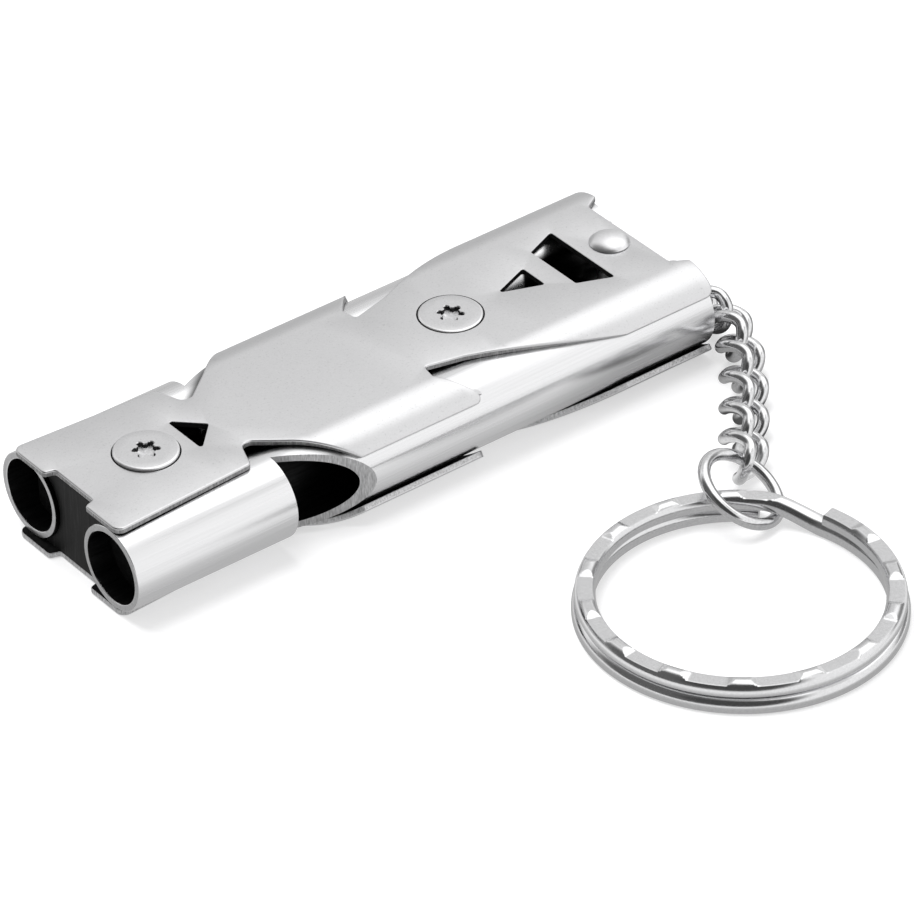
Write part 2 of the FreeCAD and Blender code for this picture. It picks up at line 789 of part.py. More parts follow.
def strip_section(name, radius, z, turn, crown):
    """The rounded cross-section of the strip, standing on a radius; crown is
    the radius of its upper corners."""
    half_w = s.split_width / 2
    half_t = s.split_thickness / 2
    w, t, q, c = half_w.value, half_t.value, edge_radius.value, crown.value
    rounded = doc.addObject("Sketcher::SketchObject", name)
    lines = [((-w + q, -t), (w - q, -t)), ((w, -t + q), (w, t - c)),
             ((w - c, t), (-w + c, t)), ((-w, t - c), (-w, -t + q))]
    corners = [((w - q, -t + q), 270, q), ((w - c, t - c), 0, c),
               ((-w + c, t - c), 90, c), ((-w + q, -t + q), 180, q)]
    for first, last in lines:
        rounded.addGeometry(Part.LineSegment(FreeCAD.Vector(*first, 0),
                                             FreeCAD.Vector(*last, 0)), False)
    for (cx, cy), first, bend in corners:
        circle = Part.Circle(FreeCAD.Vector(cx, cy, 0), Z_AXIS, bend)
        rounded.addGeometry(Part.ArcOfCircle(
            circle, math.radians(first), math.radians(first + 90)), False)
    # lines 0 to 3 and arcs 4 to 7, each joined smoothly to the next
    for i in range(4):
        rounded.addConstraint(Sketcher.Constraint("Tangent", i, 2, 4 + i, 1))
        rounded.addConstraint(Sketcher.Constraint("Tangent", 4 + i, 2, (i + 1) % 4, 1))
    rounded.addConstraint(Sketcher.Constraint("Horizontal", 0))
    rounded.addConstraint(Sketcher.Constraint("Vertical", 1))
    rounded.addConstraint(Sketcher.Constraint("Equal", 4, 7))
    rounded.addConstraint(Sketcher.Constraint("Equal", 5, 6))
    for arc, bend in ((4, edge_radius), (5, crown)):
        row = rounded.addConstraint(Sketcher.Constraint("Radius", arc, bend.value))
        rounded.setExpression("Constraints[%d]" % row, bend.formula)
    for kind, geometry, size in (("DistanceX", 1, half_w), ("DistanceX", 3, -half_w),
                                 ("DistanceY", 2, half_t), ("DistanceY", 0, -half_t)):
        row = rounded.addConstraint(
            Sketcher.Constraint(kind, -1, 1, geometry, 1, size.value))
        rounded.setExpression("Constraints[%d]" % row, size.formula)
    upright = FreeCAD.Rotation(Z_AXIS, turn.value).multiply(FreeCAD.Rotation(X_AXIS, 90))
    return place(rounded, radius * cosine(turn), radius * sine(turn), z, upright)


joggle_end = s.joggle_start + s.joggle_turn
low_start = strip_section("low_start", low_radius, low_z, joggle_end + s.split_end_gap,
                          edge_radius)
high_start = strip_section("high_start", high_radius, high_z, joggle_end, crown_radius)

# the upper coil runs on from the joggle, the lower one back from it, and each
# stops with a blunt end just short of it
coil_turn = as_size(360) - s.joggle_turn - s.split_end_gap
high_coil = revolve("high_coil", high_start, coil_turn)
low_coil = revolve("low_coil", low_start, coil_turn)
joggle_sections = []
joggle_steps = 8
for i in range(joggle_steps + 1):
    share = i / float(joggle_steps)
    blend = share * share * (3 - 2 * share)
    joggle_sections.append(strip_section(
        "joggle_%d" % i,
        low_radius + (high_radius - low_radius) * blend,
        low_z + (high_z - low_z) * blend,
        s.joggle_start + s.joggle_turn * share,
        edge_radius + (crown_radius - edge_radius) * blend))
joggle = doc.addObject("Part::Loft", "joggle")
joggle.Sections = joggle_sections
joggle.Solid = True
joggle.Ruled = False
strip = fuse("strip", [low_coil, joggle, high_coil], False)

# the scallops: flats pressed into the crown of the upper coil
scallops = []
for i in range(int(value("scallop_count"))):
    cutter = doc.addObject("Part::Wedge", "scallop_%d" % i)
    for path, size in (("Xmin", -(s.scallop_length / 2)), ("Xmax", s.scallop_length / 2),
                       ("X2min", -(s.scallop_length / 2 + s.scallop_ramp * 2)),
                       ("X2max", s.scallop_length / 2 + s.scallop_ramp * 2),
                       ("Ymin", as_size(0)), ("Ymax", s.scallop_depth * 2),
                       ("Zmin", -s.split_width), ("Zmax", s.split_width),
                       ("Z2min", -s.split_width), ("Z2max", s.split_width)):
        setattr(cutter, path, size.value)
        bind(cutter, path, size)
    turn = s.scallop_first - s.scallop_pitch * i
    upright = FreeCAD.Rotation(Z_AXIS, turn.value + 90).multiply(FreeCAD.Rotation(X_AXIS, 90))
    place(cutter, high_radius * cosine(turn), high_radius * sine(turn),
          high_z + s.split_thickness / 2 - s.scallop_depth, upright)
    scallops.append(cutter)
split = cut("split_strip", strip, fuse("scallop_cutters", scallops, False))
split.Label = "split_ring"
split_way = math.radians(value("split_heading"))
split.Placement = FreeCAD.Placement(FreeCAD.Vector(
    jump_centre.x + value("split_reach") * math.cos(split_way),
    jump_centre.y + value("split_reach") * math.sin(split_way), 0), FreeCAD.Rotation())
pieces.append(split)
doc.recompute()

for item in doc.Objects:
    if "Invalid" in item.State or "Error" in item.State:
        raise RuntimeError("%s did not rebuild" % item.Name)
os.makedirs("parts", exist_ok=True)
for item in pieces:
    if item.Shape.isNull() or not item.Shape.isValid():
        raise RuntimeError("%s has no valid shape" % item.Label)
    item.Shape.exportStep("parts/%s.step" % item.Label)
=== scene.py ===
import bpy
import bmesh
import math
import numpy as np
from mathutils import Matrix, Vector, geometry


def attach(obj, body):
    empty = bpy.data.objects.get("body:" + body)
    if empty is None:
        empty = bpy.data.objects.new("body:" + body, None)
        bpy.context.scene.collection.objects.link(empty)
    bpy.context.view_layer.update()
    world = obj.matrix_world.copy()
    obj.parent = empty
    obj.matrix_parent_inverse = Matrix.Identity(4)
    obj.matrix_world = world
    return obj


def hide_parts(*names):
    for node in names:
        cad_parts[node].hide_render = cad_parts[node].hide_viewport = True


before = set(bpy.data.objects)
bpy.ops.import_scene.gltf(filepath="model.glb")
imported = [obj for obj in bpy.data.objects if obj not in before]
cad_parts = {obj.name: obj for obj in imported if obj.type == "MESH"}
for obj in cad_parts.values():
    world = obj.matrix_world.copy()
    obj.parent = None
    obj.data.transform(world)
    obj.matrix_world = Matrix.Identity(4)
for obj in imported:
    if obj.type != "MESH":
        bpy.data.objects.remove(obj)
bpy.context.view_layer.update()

# Sizes in millimetres, as the solids have them. MM turns them into metres.
MM = 0.001
TUBE_R = 3.795
BORE_R = 3.205
TUBE_Y = 6.17
SHEET = 0.55
SEAT = 0.025
TUBE_Z = SHEET + SEAT + TUBE_R
TOP_Z = 2 * TUBE_Z
MOUTH = -30.0
REAR = 30.0
SETBACK = 0.58
LIP_X = 15.9
WINDOW_DEPTH = 3.66
WINDOW_LENGTH = 12.0
WINDOW_RISE = 5.49
WRAP = math.radians(54.5)
R_IN = TUBE_R + SEAT
R_OUT = R_IN + SHEET
PIN_FROM_MOUTH = 56.57
SCREWS_FROM_MOUTH = (8.1, 39.41)
PIN_X = MOUTH + PIN_FROM_MOUTH
PIN_R = 1.0
SCREWS = tuple(MOUTH + x for x in SCREWS_FROM_MOUTH)
HEAD_R = 2.765
PLATE_LENGTH = 60.2
WING_START = 15.5
WING_TIP_X = 18.3
END_FILLET = 0.07

# The camera, as fitted to the photograph: place in millimetres and three axes.
CAM_POS = (-238.5924, -323.5628, 286.2109)
CAM_RIGHT = (0.7868385938711113, -0.6169942399700156, -0.014252544992222518)
CAM_UP = (0.3686215042823896, 0.45132197970536464, 0.8126663874034775)
CAM_FWD = (0.4949779932234571, 0.6446910721257534, -0.5825548967658121)


def make_camera():
    data = bpy.data.cameras.new("camera")
    data.sensor_width = 36.0
    data.lens = 232.26236
    data.clip_start = 0.01
    data.clip_end = 10.0
    camera = bpy.data.objects.new("camera", data)
    bpy.context.scene.collection.objects.link(camera)
    right, up, back = Vector(CAM_RIGHT), Vector(CAM_UP), -Vector(CAM_FWD)
    turn = Matrix((right, up, back)).transposed().to_4x4()
    camera.matrix_world = Matrix.Translation(Vector(CAM_POS) * MM) @ turn
    bpy.context.scene.camera = camera


make_camera()


# Mesh helpers.
def turn_faces_out(mesh):
    """Makes every face look outwards."""
    work = bmesh.new()
    work.from_mesh(mesh)
    bmesh.ops.recalc_face_normals(work, faces=work.faces)
    work.to_mesh(mesh)
    work.free()


def mesh_piece(name, verts, faces, body, nodes, materials, sharp, slots=None):
    """A piece in millimetres that rides on a body and stands for CAD nodes."""
    mesh = bpy.data.meshes.new(name)
    mesh.from_pydata([tuple(float(c) * MM for c in v) for v in verts], [], faces)
    mesh.validate()
    for material in materials:
        mesh.materials.append(material)
    if slots is not None:
        mesh.polygons.foreach_set("material_index", slots)
    turn_faces_out(mesh)
    mesh.polygons.foreach_set("use_smooth", [True] * len(mesh.polygons))
    mesh.set_sharp_from_angle(angle=math.radians(sharp))
    piece = bpy.data.objects.new(name, mesh)
    bpy.context.scene.collection.objects.link(piece)
    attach(piece, body)
    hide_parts(*nodes)


def sweep(rings, closed=True):
    """Quads between rows of points, (n, m, 3): a closed loop or a capped length."""
    n, m = rings.shape[:2]
    faces = []
    for i in range(n if closed else n - 1):
        j = (i + 1) % n
        for k in range(m):
            q = (k + 1) % m
            faces.append((i * m + k, i * m + q, j * m + q, j * m + k))
    if not closed:
        faces.append(tuple(range(m))[::-1])
        faces.append(tuple((n - 1) * m + k for k in range(m)))
    return rings.reshape(-1, 3), faces


def wire_loop(path, radius, around=20):
    """A round wire along a closed path, with frames that meet at the seam."""
    n = len(path)
    tangent = np.roll(path, -1, 0) - np.roll(path, 1, 0)
    tangent /= np.linalg.norm(tangent, axis=1)[:, None]
    normal = np.zeros_like(path)
    start = np.cross(tangent[0], (0.3, 0.5, 0.8))
    normal[0] = start / np.linalg.norm(start)
    for i in range(1, n):
        v = normal[i - 1] - tangent[i] * (normal[i - 1] @ tangent[i])
        normal[i] = v / np.linalg.norm(v)
    last = normal[-1] - tangent[0] * (normal[-1] @ tangent[0])
    last /= np.linalg.norm(last)
    side = np.cross(tangent[0], normal[0])
    drift = math.atan2(last @ side, last @ normal[0])
    rings = np.zeros((n, around, 3))
    for i in range(n):
        other = np.cross(tangent[i], normal[i])
        turn = -drift * i / n
        for k in range(around):
            a = 2 * math.pi * k / around + turn
            rings[i, k] = path[i] + radius * (math.cos(a) * normal[i] + math.sin(a) * other)
    return sweep(rings)


def lathe(profile, x, around=64):
    """Turns (radius, height) pairs about an upright axis at x."""
    turns = [2 * math.pi * k / around for k in range(around)]
    rows = [[(x + r * math.cos(a), r * math.sin(a), h) for a in turns] for r, h in profile]
    return sweep(np.array(rows), closed=False)


# Materials.
class Shader:
    """A material's node tree with short ways to add and join nodes."""

    def __init__(self, name, rough, metal):
        self.material = bpy.data.materials.new(name)
        self.material.use_nodes = True
        self.tree = self.material.node_tree
        self.main = self.tree.nodes["Principled BSDF"]
        self.main.inputs["Roughness"].default_value = rough
        self.main.inputs["Metallic"].default_value = metal

    def add(self, kind, **values):
        """A node of that kind, with its sockets or settings given by name."""
        node = self.tree.nodes.new(kind)
        for key, value in values.items():
            if key in node.inputs:
                node.inputs[key].default_value = value
            else:
                setattr(node, key, value)
        return node

    def join(self, source, target):
        self.tree.links.new(source, target)

    def noise(self, per_mm, detail=3.0, rough=0.6):
        """Noise with that many grains in a millimetre along x, y and z."""
        place = self.add("ShaderNodeTexCoord")
        scale = self.add("ShaderNodeMapping")
        scale.inputs["Scale"].default_value = [1000.0 * c for c in per_mm]
        noise = self.add("ShaderNodeTexNoise", Scale=1.0, Detail=detail, Roughness=rough)
        self.join(place.outputs["Object"], scale.inputs["Vector"])
        self.join(scale.outputs["Vector"], noise.inputs["Vector"])
        return noise.outputs["Fac"]

    def ramp(self, source, stops):
        """Grey levels at places of the source between 0 and 1."""
        node = self.add("ShaderNodeValToRGB")
        points = node.color_ramp.elements
        while len(points) < len(stops):
            points.new(0.5)
        for point, (at, level) in zip(points, stops):
            point.position = at
            point.color = (level, level, level * 1.01, 1)
        self.join(source, node.inputs["Fac"])
        return node.outputs["Color"]

    def math(self, operation, *values):
        """One sum on sockets or numbers."""
        node = self.add("ShaderNodeMath", operation=operation)
        for place, value in zip(node.inputs, values):
            if isinstance(value, (int, float)):
                place.default_value = value
            else:
                self.join(value, place)
        return node.outputs[0]

    def span(self, source, low, high, at_low, at_high):
        """A soft step from one level to another as the source goes from low to high."""
        node = self.add("ShaderNodeMapRange", interpolation_type="SMOOTHSTEP")
        for key, value in (("From Min", low), ("From Max", high),
                           ("To Min", at_low), ("To Max", at_high)):
            node.inputs[key].default_value = value
        self.join(source, node.inputs["Value"])
        return node.outputs["Result"]

    def place(self, axis):
        """The point's own place along an axis, in metres."""
        split = self.add("ShaderNodeSeparateXYZ")
        self.join(self.add("ShaderNodeTexCoord").outputs["Object"], split.inputs[0])
        return split.outputs[axis]

    def color(self, source):
        self.join(source, self.main.inputs["Base Color"])

    def shaded(self, source, dark, lit):
        """A colour that falls to a dark level where lit is 0."""
        both = self.add("ShaderNodeMix", data_type="RGBA")
        both.inputs["A"].default_value = (dark, dark, dark, 1)
        self.join(source, both.inputs["B"])
        self.join(lit, both.inputs["Factor"])
        self.color(both.outputs["Result"])

    def rough(self, source, low, high):
        """Roughness that follows the source."""
        node = self.add("ShaderNodeMapRange")
        node.inputs["To Min"].default_value = low
        node.inputs["To Max"].default_value = high
        self.join(source, node.inputs["Value"])
        self.join(node.outputs["Result"], self.main.inputs["Roughness"])

    def bump(self, source, depth_mm, strength):
        """Fine relief of that depth."""
        node = self.add("ShaderNodeBump", Strength=strength, Distance=depth_mm * MM)
        self.join(source, node.inputs["Height"])
        self.join(node.outputs["Normal"], self.main.inputs["Normal"])


def make_plate_material():
    """Tumbled steel sheet: an even light grey with a fine grain and specks."""
    shader = Shader("plate", 0.36, 1.0)
    grain = shader.noise((6, 6, 6), 4.0, 0.7)
    shader.color(shader.ramp(grain, ((0.28, 0.58), (0.4, 0.77), (0.6, 0.79), (0.74, 0.85))))
    shader.rough(shader.noise((0.6, 0.6, 0.6)), 0.3, 0.38)
    shader.bump(grain, 0.008, 0.3)
    return shader.material


def make_edge_material(name, low, middle, high):
    """Cut edges: fine stripes across the sheet, dark and bright by turns."""
    shader = Shader(name, 0.5, 0.8)
    stripes = shader.noise((8, 8, 1.5), 3.0, 0.6)
    shader.color(shader.ramp(stripes, ((0.3, low), (0.5, middle), (0.72, high))))
    shader.bump(stripes, 0.03, 0.4)
    return shader.material


def make_tube_material():
    """Satin tube with faint drawing lines along it, and painted shade: dark between the
    plates and ahead of the wings' front edges.
    """
    shader = Shader("tube", 0.27, 1.0)
    lines = shader.noise((0.05, 9, 9), 3.0, 0.6)
    skin = shader.ramp(lines, ((0.25, 0.86), (0.75, 0.94)))
    along = shader.place("X")
    across = shader.math("ABSOLUTE", shader.place("Y"))
    # painted shade: the flanks are dark where the plates shut them in, further out at both
    # ends
    limit = shader.math("MAXIMUM",
                        shader.span(along, 19.0 * MM, 20.2 * MM, 2.3 * MM, 3.75 * MM),
                        shader.span(along, -15.2 * MM, -14.4 * MM, 4.0 * MM, 2.3 * MM))
    beyond = shader.math("SUBTRACT", across, limit)
    clear_of_plate_shade = shader.span(beyond, -0.3 * MM, 0.3 * MM, 0.0, 1.0)
    # painted shade: in front of the wings' leading edges the skin is dark under the plate's
    # lip
    slope, start = 1.4, MOUTH + WING_TIP_X
    ahead = shader.math("MULTIPLY_ADD", across, slope, (start - slope * TUBE_Y) * MM)
    ahead = shader.math("SUBTRACT", ahead, along)
    clear = shader.math("MAXIMUM", shader.span(ahead, 0.0 * MM, 1.7 * MM, 0.05, 1.0),
                        shader.span(ahead, -0.8 * MM, -0.6 * MM, 1.0, 0.0))
    clear = shader.math("MAXIMUM", clear,
                        shader.span(across, 8.4 * MM, 9.2 * MM, 0.0, 1.0))
    # the skin falls to near black wherever either painted shade lies
    shader.shaded(skin, 0.01, shader.math("MULTIPLY", clear_of_plate_shade, clear))
    shader.rough(lines, 0.22, 0.3)
    shader.bump(lines, 0.0015, 0.2)
    return shader.material


def make_tube_end_material():
    """The tubes' turned ends, greyer than their skin."""
    shader = Shader("tube_end", 0.4, 1.0)
    marks = shader.noise((4, 4, 4), 3.0, 0.6)
    shader.color(shader.ramp(marks, ((0.3, 0.58), (0.7, 0.74))))
    shader.bump(marks, 0.01, 0.3)
    return shader.material


def make_inside_material():
    """Painted shade: near-black steel put where shade falls between the plates, on the
    plates' inner faces, hole walls and screw shanks. The fipple plugs get the same
    near-black.
    """
    shader = Shader("inside", 0.7, 0.0)
    shader.color(shader.ramp(shader.noise((2, 2, 2)), ((0.3, 0.004), (0.8, 0.014))))
    shader.main.inputs["Specular IOR Level"].default_value = 0.1
    return shader.material


def make_bore_material():
    """The tubes' bores: painted shade, near-black steel, with a soft shine by the windows."""
    shader = Shader("bore", 0.5, 1.0)
    shader.color(shader.ramp(shader.noise((0.3, 3, 3)), ((0.3, 0.02), (0.8, 0.06))))
    return shader.material


def make_spacer_material():
    """Dark block with upright machining streaks."""
    shader = Shader("spacer", 0.55, 0.0)
    streaks = shader.noise((5, 5, 0.25), 3.0, 0.6)
    shader.color(shader.ramp(streaks, ((0.3, 0.004), (0.55, 0.01), (0.75, 0.028))))
    shader.main.inputs["Specular IOR Level"].default_value = 0.25
    shader.bump(streaks, 0.03, 0.4)
    return shader.material


def make_screw_material():
    """Screw heads: like the plates, with a few more marks."""
    shader = Shader("screw", 0.34, 1.0)
    grain = shader.noise((6, 6, 6), 4.0, 0.65)
    shader.color(shader.ramp(grain, ((0.26, 0.45), (0.36, 0.74), (0.7, 0.82))))
    shader.bump(grain, 0.012, 0.35)
    return shader.material


def make_recess_material(name, low, high):
    """The drive recess's steel in two copies: the pressed floor brightened as a painted
    highlight, the walls darkened as painted shade.
    """
    shader = Shader(name, 0.5, 1.0)
    grain = shader.noise((4, 4, 4))
    shader.color(shader.ramp(grain, ((0.3, low), (0.7, high))))
    shader.bump(grain, 0.02, 0.4)
    return shader.material


def make_wire_material(name, low, high, rough):
    """Bright drawn wire with faint marks."""
    shader = Shader(name, rough, 1.0)
    marks = shader.noise((5, 5, 5), 4.0, 0.6)
    shader.color(shader.ramp(marks, ((0.3, low), (0.7, high))))
    shader.rough(marks, rough * 0.8, rough * 1.3)
    shader.bump(marks, 0.006, 0.25)
    return shader.material


def make_first_link_material():
    """The chain's wire, with painted shade where the plates shut it in."""
    shader = Shader("first_link_shaded", 0.2, 1.0)
    marks = shader.ramp(shader.noise((1.6, 1.6, 1.6)), ((0.3, 0.68), (0.7, 0.86)))
    shader.shaded(marks, 0.012, shader.span(shader.place("X"), (REAR - 2.2) * MM,
                                            (REAR + 0.2) * MM, 0.0, 1.0))
    return shader.material


plate_mat = make_plate_material()
edge_mat = make_edge_material("cut_edge", 0.22, 0.36, 0.56)
# painted light: the bottom plate's cut edges are a lighter copy of the same cut edge
lower_edge_lit_mat = make_edge_material("lower_cut_edge_lit", 0.42, 0.7, 0.92)
window_mat = make_edge_material("window_cut", 0.36, 0.54, 0.74)
tube_with_shade_mat = make_tube_material()
inside_shade_and_plug_mat = make_inside_material()
bore_shade_mat = make_bore_material()
spacer_mat = make_spacer_material()
screw_mat = make_screw_material()
tube_end_mat = make_tube_end_material()
# painted highlight on the recess floor, painted shade on its walls
recess_floor_lit_mat = make_recess_material("recess_floor_highlight", 0.85, 0.98)
recess_wall_shade_mat = make_recess_material("recess_wall_shade", 0.03, 0.12)
# painted highlight: a brighter copy of the screw steel on the recess rim and the head's
# rounded edge
rim_highlight_mat = make_wire_material("rim", 0.84, 0.95, 0.3)
first_link_shade_mat = make_first_link_material()
chain_mat = make_wire_material("chain", 0.72, 0.86, 0.14)
ring_mat = make_wire_material("ring", 0.76, 0.84, 0.17)
pin_mat = make_wire_material("pin", 0.86, 0.94, 0.34)


def corner_arc(points, i, radius):
    """The centre of the arc that rounds corner i, and its two ends seen from there."""
    a, b, c = (np.array(points[(i + d) % len(points)][:2], float) for d in (-1, 0, 1))
    u = (a - b) / np.linalg.norm(a - b)
    v = (c - b) / np.linalg.norm(c - b)
    half = math.acos(np.clip(u @ v, -1, 1)) / 2
    trim = radius / math.tan(half)
    bis = (u + v) / np.linalg.norm(u + v)
    centre = b + bis * radius / math.sin(half)
    return centre, b + u * trim - centre, b + v * trim - centre


def fillet_profile(points, radius, steps=4):
    """Rounds the corners of a closed profile of (radius, height) pairs."""
    out = []
    for i in range(len(points)):
        centre, p, q = corner_arc(points, i, radius)
        for k in range(steps + 1):
            f = k / steps
            w = p * (1 - f) + q * f
            out.append(centre + w / np.linalg.norm(w) * radius)
    return out


# Tubes.
def make_tube(name, side, start):
    """A tube with its window cut by a wedge; side is 1 for left and -1 for right."""
    section = [(BORE_R, start - MOUTH), (TUBE_R, start - MOUTH), (TUBE_R, REAR - MOUTH),
               (BORE_R, REAR - MOUTH)]
    around = 128
    turns = [2 * math.pi * k / around for k in range(around)]
    rows = [[(MOUTH + h, side * TUBE_Y + r * math.cos(a), TUBE_Z + r * math.sin(a))
             for a in turns] for r, h in fillet_profile(section, END_FILLET)]
    verts, faces = sweep(np.array(rows))
    mesh = bpy.data.meshes.new(name + "_raw")
    mesh.from_pydata([tuple(v) for v in verts], [], faces)
    raw = bpy.data.objects.new(name + "_raw", mesh)
    # the window's wedge stands upright and reaches past the tube both ways
    lip = start + LIP_X
    deep = TUBE_Y + TUBE_R - WINDOW_DEPTH
    plan = [(lip, deep), (lip + WINDOW_LENGTH, deep + WINDOW_RISE),
            (lip, deep + WINDOW_RISE)]
    low = [(x, y * side, -1.0) for x, y in plan]
    high = [(x, y * side, 10.0) for x, y in plan]
    wedge_mesh = bpy.data.meshes.new(name + "_wedge")
    order = [(0, 1, 2), (5, 4, 3), (0, 3, 4, 1), (1, 4, 5, 2), (2, 5, 3, 0)]
    wedge_mesh.from_pydata(low + high, [], order)
    for item in (mesh, wedge_mesh):
        turn_faces_out(item)
    wedge = bpy.data.objects.new(name + "_wedge", wedge_mesh)
    for item in (raw, wedge):
        bpy.context.scene.collection.objects.link(item)
    modifier = raw.modifiers.new("window", "BOOLEAN")
    modifier.operation = "DIFFERENCE"
    modifier.solver = "EXACT"
    modifier.object = wedge
    bpy.context.view_layer.update()
    done = raw.evaluated_get(bpy.context.evaluated_depsgraph_get()).to_mesh()
    verts = [tuple(v.co) for v in done.vertices]
    faces = [tuple(p.vertices) for p in done.polygons]
    for item in (raw, wedge):
        bpy.data.objects.remove(item)
    slots = [tube_face_slot(np.array([verts[k] for k in face]), side) for face in faces]
    mesh_piece(name + "_fine", verts, faces, "whistle", [name],
               [tube_with_shade_mat, bore_shade_mat, window_mat, tube_end_mat], 30, slots)


def tube_face_slot(points, side):
    """0 for the outside, 1 for the bore, 2 for the window's cut, 3 for the ends."""
    off = np.hypot(points[:, 1] - side * TUBE_Y, points[:, 2] - TUBE_Z)
    ends = points[:, 0].min() < MOUTH + SETBACK + 0.3 or points[:, 0].max() > REAR - 0.3
    if off.max() < BORE_R + 0.02 and not ends:
        return 1
    if off.max() < BORE_R + 0.002:
        return 1
    if off.max() - off.min() > 0.15:
        return 3 if ends else 2
    return 0


make_tube("left_tube", 1, MOUTH + SETBACK)
make_tube("right_tube", -1, MOUTH)


def rounded_polygon(corners, steps=6):
    """An outline with arcs at its corners, from (x, s, radius) for each of them."""
    out = []
    for i, (x, s, radius) in enumerate(corners):
        if radius <= 0:
            out.append(np.array((x, s), float))
            continue
        centre, p, q = corner_arc(corners, i, radius)
        angle = math.acos(np.clip(p @ q / radius / radius, -1, 1))
        cross = p[0] * q[1] - p[1] * q[0]
        for k in range(steps + 1):
            t = angle * k / steps * (1 if cross > 0 else -1)
            out.append(centre + np.array([p[0] * math.cos(t) - p[1] * math.sin(t),
                                          p[0] * math.sin(t) + p[1] * math.cos(t)]))
    return out


# Cover plates: S_END is the wing's end along the sheet, SPRING widens the lower bend.
R_MID = (R_IN + R_OUT) / 2
S_END = TUBE_Y + R_MID * WRAP
SPRING = 0.85
PLATE_SOFT, HOLE_SOFT, CHAMFER = 0.16, 0.06, 0.05
SINK_WIDER, SINK_NARROWER = 0.12, 0.35
PIN_HOLE_R = 1.03
CUT_OUT_R = 0.2
# The cut-outs along the plate's middle, in (x from the mouth, s).
CUT_OUTS = (((11.91, -2.47), (14.38, 0), (11.91, 2.47)),
            ((44.43, 0), (48.34, -1.54), (48.34, 1.54)),
            ((50.45, -3.03), (53.62, -4.35), (53.62, 4.35), (50.45, 3.03)))


def wing_s(share):
    """The place along the sheet at a share of the wing's bend."""
    return TUBE_Y + R_MID * WRAP * share


def half_outline():
    """The plate's edge on the left, in (x from the mouth, s, corner radius).

    s runs across the sheet and round the wings."""
    mid_front = [(WING_TIP_X + 4.47 * f, wing_s(f), 0) for f in np.linspace(0, 0.9, 10)]
    mid_rear = [(32.77 + 3.09 * f, wing_s(f), 0) for f in np.linspace(0.85, 0, 9)]
    rear_front = [(38.2 + 9.24 * f + 3.14 * f * f, wing_s(f), 0)
                  for f in np.linspace(0, 0.96, 13)]
    return ([(0.97, 2.6, 0.3), (0.0, 2.9, 0.35), (0.0, 7.4, 0.8), (13.75, 6.65, 0.5),
             (14.91, 3.5, 0.8)] + mid_front +
            [(22.77, S_END, 0.4), (35.86, S_END, 0.6)] + mid_rear +
            [(33.0, 4.65, 0.35), (36.6, 5.53, 0.0)] + rear_front +
            [(50.58, S_END, 0.3), (PLATE_LENGTH, S_END, 0.9),
             (PLATE_LENGTH, TUBE_Y + 0.1, 0.3), (58.7, 5.4, 0.5)])


def circle(cx, radius, steps=48):
    """A round hole's outline on the centre line."""
    return [np.array([cx + radius * math.cos(2 * math.pi * k / steps),
                      radius * math.sin(2 * math.pi * k / steps)]) for k in range(steps)]


def inset(loop, depth, hole):
    """Moves a loop inwards from the metal's edge by a small depth."""
    pts = np.array(loop)
    n = len(pts)
    out = []
    area = 0.5 * sum(pts[i][0] * pts[(i + 1) % n][1] - pts[(i + 1) % n][0] * pts[i][1]
                     for i in range(n))
    sign = 1.0 if area > 0 else -1.0
    if hole:
        sign = -sign
    for i in range(n):
        a, b, c = pts[i - 1], pts[i], pts[(i + 1) % n]
        u = (b - a) / max(np.linalg.norm(b - a), 1e-9)
        v = (c - b) / max(np.linalg.norm(c - b), 1e-9)
        nu = np.array([-u[1], u[0]])
        nv = np.array([-v[1], v[0]])
        m = nu + nv
        m /= max(np.linalg.norm(m), 1e-9)
        reach = depth / max(m @ nu, 0.5)
        out.append(b + m * reach * sign)
    return out


def bend(x, s, height, flip):
    """A point of the plate: s is across it, height up from its inner face."""
    side = 1.0 if s >= 0 else -1.0
    across = abs(s)
    if across > TUBE_Y and x > WING_START:
        spring = SPRING if flip else 0.0
        angle = (across - TUBE_Y) / (R_MID + spring)
        radius = R_IN + spring + height
        y = TUBE_Y + radius * math.sin(angle)
        z = TUBE_Z - spring + radius * math.cos(angle)
    else:
        y = across
        z = TUBE_Z + R_IN + height
    if flip:
        z = 2 * TUBE_Z - z
    return (MOUTH + x, side * y, z)


def subdivide(loop, step=0.35):
    """Adds points along the stretches that run over the bends."""
    out = []
    n = len(loop)
    for i in range(n):
        a, b = loop[i], loop[(i + 1) % n]
        count = 1
        if max(abs(a[1]), abs(b[1])) > TUBE_Y:
            count = max(1, int(math.ceil(np.linalg.norm(b - a) / step)))
        out.extend(a + (b - a) * k / count for k in range(count))
    return out


def clean(loop):
    """Drops points that repeat the one before."""
    kept = []
    for p in loop:
        if not kept or np.linalg.norm(p - kept[-1]) > 1e-4:
            kept.append(p)
    if np.linalg.norm(kept[0] - kept[-1]) < 1e-4:
        kept.pop()
    return kept


def plate_loops():
    """The plate's edge, its cut-outs and the pin's hole, and whether each is a hole."""
    half = half_outline()
    other = [(x, -s, r) for x, s, r in half[::-1]]
    outer = subdivide(clean(rounded_polygon(half + other)))
    holes = [rounded_polygon([(x, s, CUT_OUT_R) for x, s in corners]) for corners in CUT_OUTS]
    holes.append(circle(PIN_FROM_MOUTH, PIN_HOLE_R, 32))
    return [(outer, False)] + [(clean(hole), True) for hole in holes]


def wing_points():
    """Places on both wings, in (x from the mouth, s), where the faces need points."""
    places = []
    for s in np.linspace(TUBE_Y, S_END, 13):
        for x in np.arange(WING_START + 0.5, PLATE_LENGTH, 1.2):
            places += [(x, s), (x, -s)]
    return places


